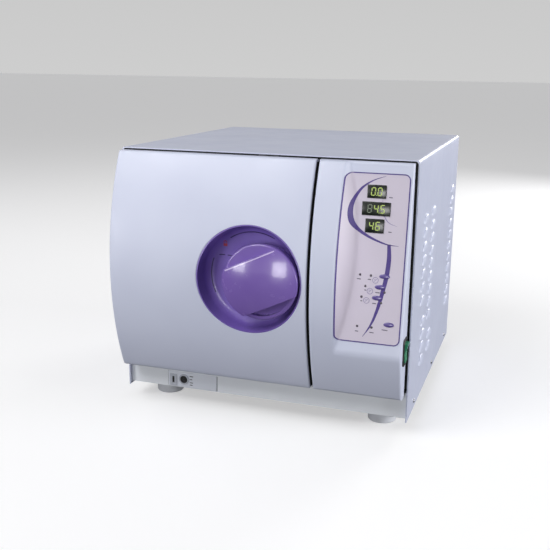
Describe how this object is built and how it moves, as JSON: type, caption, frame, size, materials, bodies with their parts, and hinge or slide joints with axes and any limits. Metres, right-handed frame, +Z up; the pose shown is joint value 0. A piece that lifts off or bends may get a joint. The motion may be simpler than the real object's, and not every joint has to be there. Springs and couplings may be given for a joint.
{
  "type": "benchtop autoclave",
  "caption": "Benchtop steam autoclave: louvred wrap cover, bulged side-hinged door with round lock knob, tilted key panel, pressure chamber with tray rack and rear machinery.",
  "frame": {"origin": "centre of the overall box at the feet's bottom plane", "axes": "+Z up, front (door) faces -Y, +X to the viewer's right"},
  "size_m": [0.49, 0.587, 0.4347],
  "materials": {
    "cover_paint": "satin powder coat, pale lavender grey",
    "shell_plastic": "satin moulded ABS, pale lavender grey",
    "pan_paint": "satin powder coat",
    "foot_plastic": "light grey moulded feet",
    "purple_well": "deep purple moulding",
    "purple_knob": "lilac purple gloss moulding",
    "steel_sheet": "zinc plated sheet",
    "stainless": "stainless steel",
    "steel_dark": "machined steel",
    "aluminium": "cast or extruded aluminium",
    "silicone": "white silicone",
    "overlay_print": "printed polyester overlay",
    "display_window": "dark display window",
    "pcb": "green circuit board",
    "lamp": "small indicator lamps",
    "key_purple": "purple key caps",
    "black_plastic": "black moulded plastic",
    "green_lens": "green rocker lens",
    "port_grey": "grey port frame",
    "wool": "mineral wool blanket in glass cloth",
    "heater": "band heaters",
    "tank_plastic": "natural polyethylene tank",
    "brass": "brass fittings and pipes",
    "pump_grey": "grey painted pump",
    "chrome_wire": "plated wire",
    "screw_steel": "plated screws"
  },
  "bodies": {
    "frame": {"base_pan": "pan_paint", "chamber_flange": "stainless", "chamber_saddles": "steel_sheet", "chamber_vessel": "stainless", "condenser_coil": "aluminium", "control_board": "pcb", "data_port": "port_grey", "display_board": "pcb", "display_modules": "display_window", "drain_coupling": "black_plastic", "fan_frame": "black_plastic", "fan_guard": "chrome_wire", "fascia": "shell_plastic", "feet": "foot_plastic", "flange_bolts": "screw_steel", "front_bulkhead": "steel_sheet", "heater_bands": "heater", "hinge_brackets": "steel_dark", "hinge_pins": "steel_dark", "indicator_lamps": "lamp", "insulation_blanket": "wool", "lock_keepers": "steel_dark", "mains_inlet": "black_plastic", "panel_overlay": "overlay_print", "partition": "steel_sheet", "pipework": "brass", "power_supply": "aluminium", "rear_panel": "pan_paint", "safety_valve": "brass", "screws": "screw_steel", "service_plate": "shell_plastic", "steam_generator": "stainless", "switch_bezel": "black_plastic", "tray_rack": "stainless", "trays": "stainless", "vacuum_pump": "pump_grey", "valve_manifold": "brass", "water_pump": "pump_grey", "water_tank": "tank_plastic", "wrap_cover": "cover_paint"},
    "door": {"door_cover": "shell_plastic", "handle_well": "purple_well", "door_backplate": "stainless", "plate_stud": "steel_dark", "pressure_plate": "stainless", "door_seal": "silicone", "bolt_guides": "aluminium", "hinge_leaves": "steel_dark"},
    "knob": {"door_knob": "purple_knob", "lock_spindle": "steel_dark", "lock_pinion": "steel_dark"},
    "bolt_upper": {"lock_bolt_upper": "steel_dark"},
    "bolt_lower": {"lock_bolt_lower": "steel_dark"},
    "key_1_body": {"key_1": "key_purple"},
    "key_2_body": {"key_2": "key_purple"},
    "key_3_body": {"key_3": "key_purple"},
    "key_4_body": {"key_4": "key_purple"},
    "rocker": {"power_rocker": "green_lens"},
    "fan": {"fan_rotor": "black_plastic"},
    "safety_pull": {"valve_pull": "brass"}
  },
  "joints": [
    {"name": "door_hinge", "type": "hinge", "parent": "frame", "child": "door", "pos_m": [-0.228, -0.241, 0.2457], "axis": [0, 0, -1], "range_deg": [0, 105]},
    {"name": "knob_turn", "type": "hinge", "parent": "door", "child": "knob", "pos_m": [0.0185, -0.266, 0.2457], "axis": [0, 1, 0], "range_deg": [0, 90]},
    {"name": "bolt_upper_slide", "type": "slide", "parent": "door", "child": "bolt_upper", "axis": [0, 0, 1], "range_m": [0, 0.01571]},
    {"name": "bolt_lower_slide", "type": "slide", "parent": "door", "child": "bolt_lower", "axis": [0, 0, -1], "range_m": [0, 0.01571]},
    {"name": "key_1_press", "type": "slide", "parent": "frame", "child": "key_1_body", "axis": [0, 0.9913, -0.1318], "range_m": [0, 0.0006], "stiffness_N_per_m": 800},
    {"name": "key_2_press", "type": "slide", "parent": "frame", "child": "key_2_body", "axis": [0, 0.9913, -0.1318], "range_m": [0, 0.0006], "stiffness_N_per_m": 800},
    {"name": "key_3_press", "type": "slide", "parent": "frame", "child": "key_3_body", "axis": [0, 0.9913, -0.1318], "range_m": [0, 0.0006], "stiffness_N_per_m": 800},
    {"name": "key_4_press", "type": "slide", "parent": "frame", "child": "key_4_body", "axis": [0, 0.9913, -0.1318], "range_m": [0, 0.0006], "stiffness_N_per_m": 800},
    {"name": "power_rock", "type": "hinge", "parent": "frame", "child": "rocker", "pos_m": [0.2338, -0.2375, 0.1487], "axis": [0, 1, 0], "range_deg": [-14, 0]},
    {"name": "fan_spin", "type": "hinge", "parent": "frame", "child": "fan", "pos_m": [-0.08, 0.252, 0.2737], "axis": [0, 1, 0], "continuous": true},
    {"name": "safety_pull_slide", "type": "slide", "parent": "frame", "child": "safety_pull", "axis": [0, 1, 0], "range_m": [0, 0.003], "stiffness_N_per_m": 2000}
  ],
  "couplings": [
    {"joint": "bolt_upper_slide", "follows": "knob_turn", "m_per_rad": 0.01},
    {"joint": "bolt_lower_slide", "follows": "knob_turn", "m_per_rad": 0.01}
  ]
}
